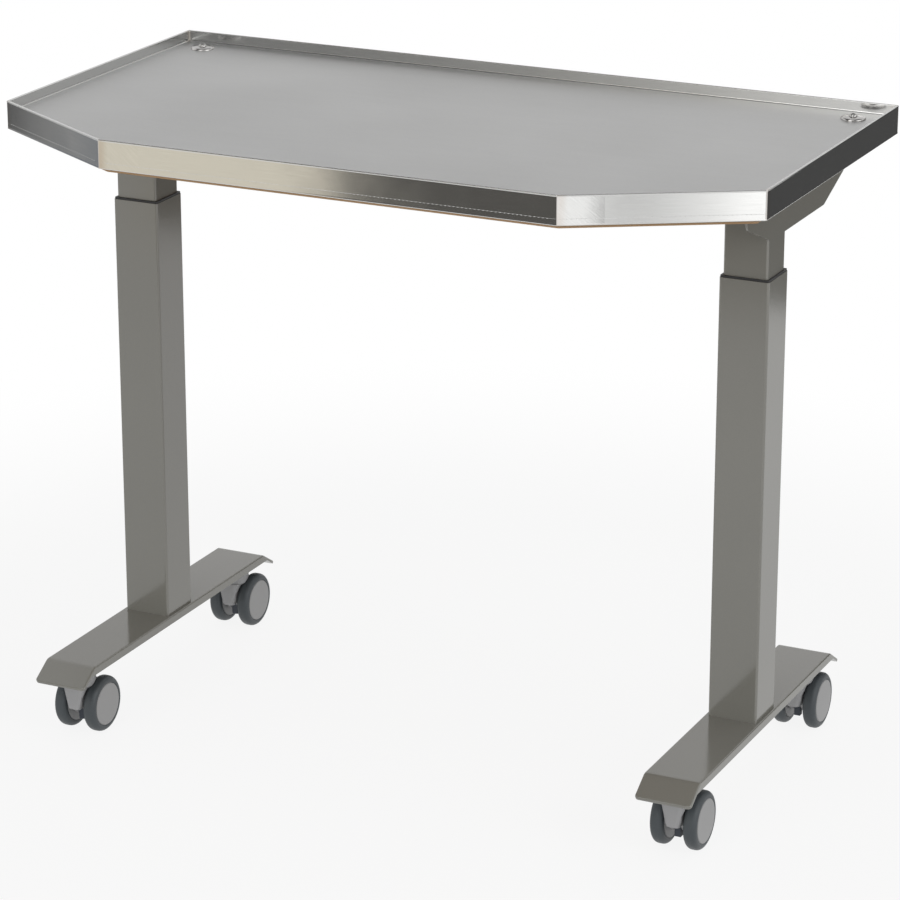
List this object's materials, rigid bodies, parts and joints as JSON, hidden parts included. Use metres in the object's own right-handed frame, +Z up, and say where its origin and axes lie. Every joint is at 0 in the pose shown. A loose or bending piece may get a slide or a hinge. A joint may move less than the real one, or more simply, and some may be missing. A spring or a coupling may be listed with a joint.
{
  "type": "mobile instrument table",
  "caption": "Wheeled instrument table: a rimmed steel tray with clipped front corners on telescopic lifting columns, each on a bent-plate foot with twin casters.",
  "frame": {"origin": "on the floor under the middle of the tray", "axes": "+X along the table, +Y to the back (the unclipped long side), +Z up"},
  "size_m": [1.026, 0.59, 0.843],
  "materials": {
    "stainless": "satin",
    "board": "matte",
    "chrome": "polished",
    "powder_coat": "satin",
    "black_plastic": "matte",
    "key_plastic": "matte",
    "zinc_steel": "satin",
    "motor_metal": "satin",
    "hood_plastic": "satin",
    "cap_plastic": "satin",
    "pedal_plastic": "matte",
    "tyre_rubber": "matte"
  },
  "bodies": {
    "left_base": {"foot_left": "powder_coat", "outer_tube_left": "powder_coat", "collar_left": "black_plastic", "nut_post_left": "zinc_steel", "foot_screws_left": "zinc_steel", "caster_stems_left": "zinc_steel"},
    "top_frame": {"top_tray": "stainless", "core_board": "board", "corner_flanges": "chrome", "corner_screws": "chrome", "cross_rail": "powder_coat", "control_box": "black_plastic", "handset": "black_plastic", "frame_screws": "zinc_steel", "inner_tube_left": "powder_coat", "lower_glide_left": "black_plastic", "motor_left": "motor_metal", "arm_left": "powder_coat", "inner_tube_right": "powder_coat", "lower_glide_right": "black_plastic", "motor_right": "motor_metal", "arm_right": "powder_coat"},
    "right_base": {"foot_right": "powder_coat", "outer_tube_right": "powder_coat", "collar_right": "black_plastic", "nut_post_right": "zinc_steel", "foot_screws_right": "zinc_steel", "caster_stems_right": "zinc_steel"},
    "screw_left": {"spindle_left": "zinc_steel"},
    "screw_right": {"spindle_right": "zinc_steel"},
    "up_key": {"up_button": "key_plastic"},
    "down_key": {"down_button": "key_plastic"},
    "caster_front_left": {"hood_front_left": "hood_plastic", "axle_front_left": "zinc_steel"},
    "brake_front_left": {"pedal_front_left": "pedal_plastic"},
    "wheel_front_left_outer": {"rim_front_left_outer": "cap_plastic", "tyre_front_left_outer": "tyre_rubber"},
    "wheel_front_left_inner": {"rim_front_left_inner": "cap_plastic", "tyre_front_left_inner": "tyre_rubber"},
    "caster_front_right": {"hood_front_right": "hood_plastic", "axle_front_right": "zinc_steel"},
    "brake_front_right": {"pedal_front_right": "pedal_plastic"},
    "wheel_front_right_outer": {"rim_front_right_outer": "cap_plastic", "tyre_front_right_outer": "tyre_rubber"},
    "wheel_front_right_inner": {"rim_front_right_inner": "cap_plastic", "tyre_front_right_inner": "tyre_rubber"},
    "caster_rear_left": {"hood_rear_left": "hood_plastic", "axle_rear_left": "zinc_steel"},
    "brake_rear_left": {"pedal_rear_left": "pedal_plastic"},
    "wheel_rear_left_outer": {"rim_rear_left_outer": "cap_plastic", "tyre_rear_left_outer": "tyre_rubber"},
    "wheel_rear_left_inner": {"rim_rear_left_inner": "cap_plastic", "tyre_rear_left_inner": "tyre_rubber"},
    "caster_rear_right": {"hood_rear_right": "hood_plastic", "axle_rear_right": "zinc_steel"},
    "brake_rear_right": {"pedal_rear_right": "pedal_plastic"},
    "wheel_rear_right_outer": {"rim_rear_right_outer": "cap_plastic", "tyre_rear_right_outer": "tyre_rubber"},
    "wheel_rear_right_inner": {"rim_rear_right_inner": "cap_plastic", "tyre_rear_right_inner": "tyre_rubber"}
  },
  "joints": [
    {"name": "column_lift", "type": "slide", "parent": "left_base", "child": "top_frame", "axis": [0, 0, 1], "range_m": [-0.04, 0.35]},
    {"name": "right_column_lift", "type": "slide", "parent": "top_frame", "child": "right_base", "axis": [0, 0, -1], "range_m": [-0.04, 0.35]},
    {"name": "spindle_turn_left", "type": "hinge", "parent": "top_frame", "child": "screw_left", "pos_m": [-0.4255, 0.0255, 0.6], "axis": [0, 0, 1], "continuous": true},
    {"name": "spindle_turn_right", "type": "hinge", "parent": "top_frame", "child": "screw_right", "pos_m": [0.4255, 0.0255, 0.6], "axis": [0, 0, 1], "continuous": true},
    {"name": "up_press", "type": "slide", "parent": "top_frame", "child": "up_key", "axis": [0, 1, 0], "range_m": [0, 0.0015], "stiffness_N_per_m": 500},
    {"name": "down_press", "type": "slide", "parent": "top_frame", "child": "down_key", "axis": [0, 1, 0], "range_m": [0, 0.0015], "stiffness_N_per_m": 500},
    {"name": "swivel_front_left", "type": "hinge", "parent": "left_base", "child": "caster_front_left", "pos_m": [-0.4255, -0.1842, 0.09], "axis": [0, 0, 1], "continuous": true},
    {"name": "brake_front_left", "type": "hinge", "parent": "caster_front_left", "child": "brake_front_left", "pos_m": [-0.4255, -0.1802, 0.055], "axis": [-1, 0, 0], "range_deg": [0, 12]},
    {"name": "roll_front_left_outer", "type": "hinge", "parent": "caster_front_left", "child": "wheel_front_left_outer", "pos_m": [-0.4255, -0.1672, 0.0375], "axis": [1, 0, 0], "continuous": true},
    {"name": "roll_front_left_inner", "type": "hinge", "parent": "caster_front_left", "child": "wheel_front_left_inner", "pos_m": [-0.4255, -0.1672, 0.0375], "axis": [1, 0, 0], "continuous": true},
    {"name": "swivel_front_right", "type": "hinge", "parent": "right_base", "child": "caster_front_right", "pos_m": [0.4255, -0.1842, 0.09], "axis": [0, 0, 1], "continuous": true},
    {"name": "brake_front_right", "type": "hinge", "parent": "caster_front_right", "child": "brake_front_right", "pos_m": [0.4255, -0.1802, 0.055], "axis": [-1, 0, 0], "range_deg": [0, 12]},
    {"name": "roll_front_right_outer", "type": "hinge", "parent": "caster_front_right", "child": "wheel_front_right_outer", "pos_m": [0.4255, -0.1672, 0.0375], "axis": [1, 0, 0], "continuous": true},
    {"name": "roll_front_right_inner", "type": "hinge", "parent": "caster_front_right", "child": "wheel_front_right_inner", "pos_m": [0.4255, -0.1672, 0.0375], "axis": [1, 0, 0], "continuous": true},
    {"name": "swivel_rear_left", "type": "hinge", "parent": "left_base", "child": "caster_rear_left", "pos_m": [-0.4255, 0.2352, 0.09], "axis": [0, 0, 1], "continuous": true},
    {"name": "brake_rear_left", "type": "hinge", "parent": "caster_rear_left", "child": "brake_rear_left", "pos_m": [-0.4255, 0.2392, 0.055], "axis": [-1, 0, 0], "range_deg": [0, 12]},
    {"name": "roll_rear_left_outer", "type": "hinge", "parent": "caster_rear_left", "child": "wheel_rear_left_outer", "pos_m": [-0.4255, 0.2522, 0.0375], "axis": [1, 0, 0], "continuous": true},
    {"name": "roll_rear_left_inner", "type": "hinge", "parent": "caster_rear_left", "child": "wheel_rear_left_inner", "pos_m": [-0.4255, 0.2522, 0.0375], "axis": [1, 0, 0], "continuous": true},
    {"name": "swivel_rear_right", "type": "hinge", "parent": "right_base", "child": "caster_rear_right", "pos_m": [0.4255, 0.2352, 0.09], "axis": [0, 0, 1], "continuous": true},
    {"name": "brake_rear_right", "type": "hinge", "parent": "caster_rear_right", "child": "brake_rear_right", "pos_m": [0.4255, 0.2392, 0.055], "axis": [-1, 0, 0], "range_deg": [0, 12]},
    {"name": "roll_rear_right_outer", "type": "hinge", "parent": "caster_rear_right", "child": "wheel_rear_right_outer", "pos_m": [0.4255, 0.2522, 0.0375], "axis": [1, 0, 0], "continuous": true},
    {"name": "roll_rear_right_inner", "type": "hinge", "parent": "caster_rear_right", "child": "wheel_rear_right_inner", "pos_m": [0.4255, 0.2522, 0.0375], "axis": [1, 0, 0], "continuous": true}
  ],
  "couplings": [
    {"joint": "right_column_lift", "follows": "column_lift", "ratio": 1},
    {"joint": "spindle_turn_left", "follows": "column_lift", "rad_per_m": 314.16},
    {"joint": "spindle_turn_right", "follows": "column_lift", "rad_per_m": 314.16}
  ]
}
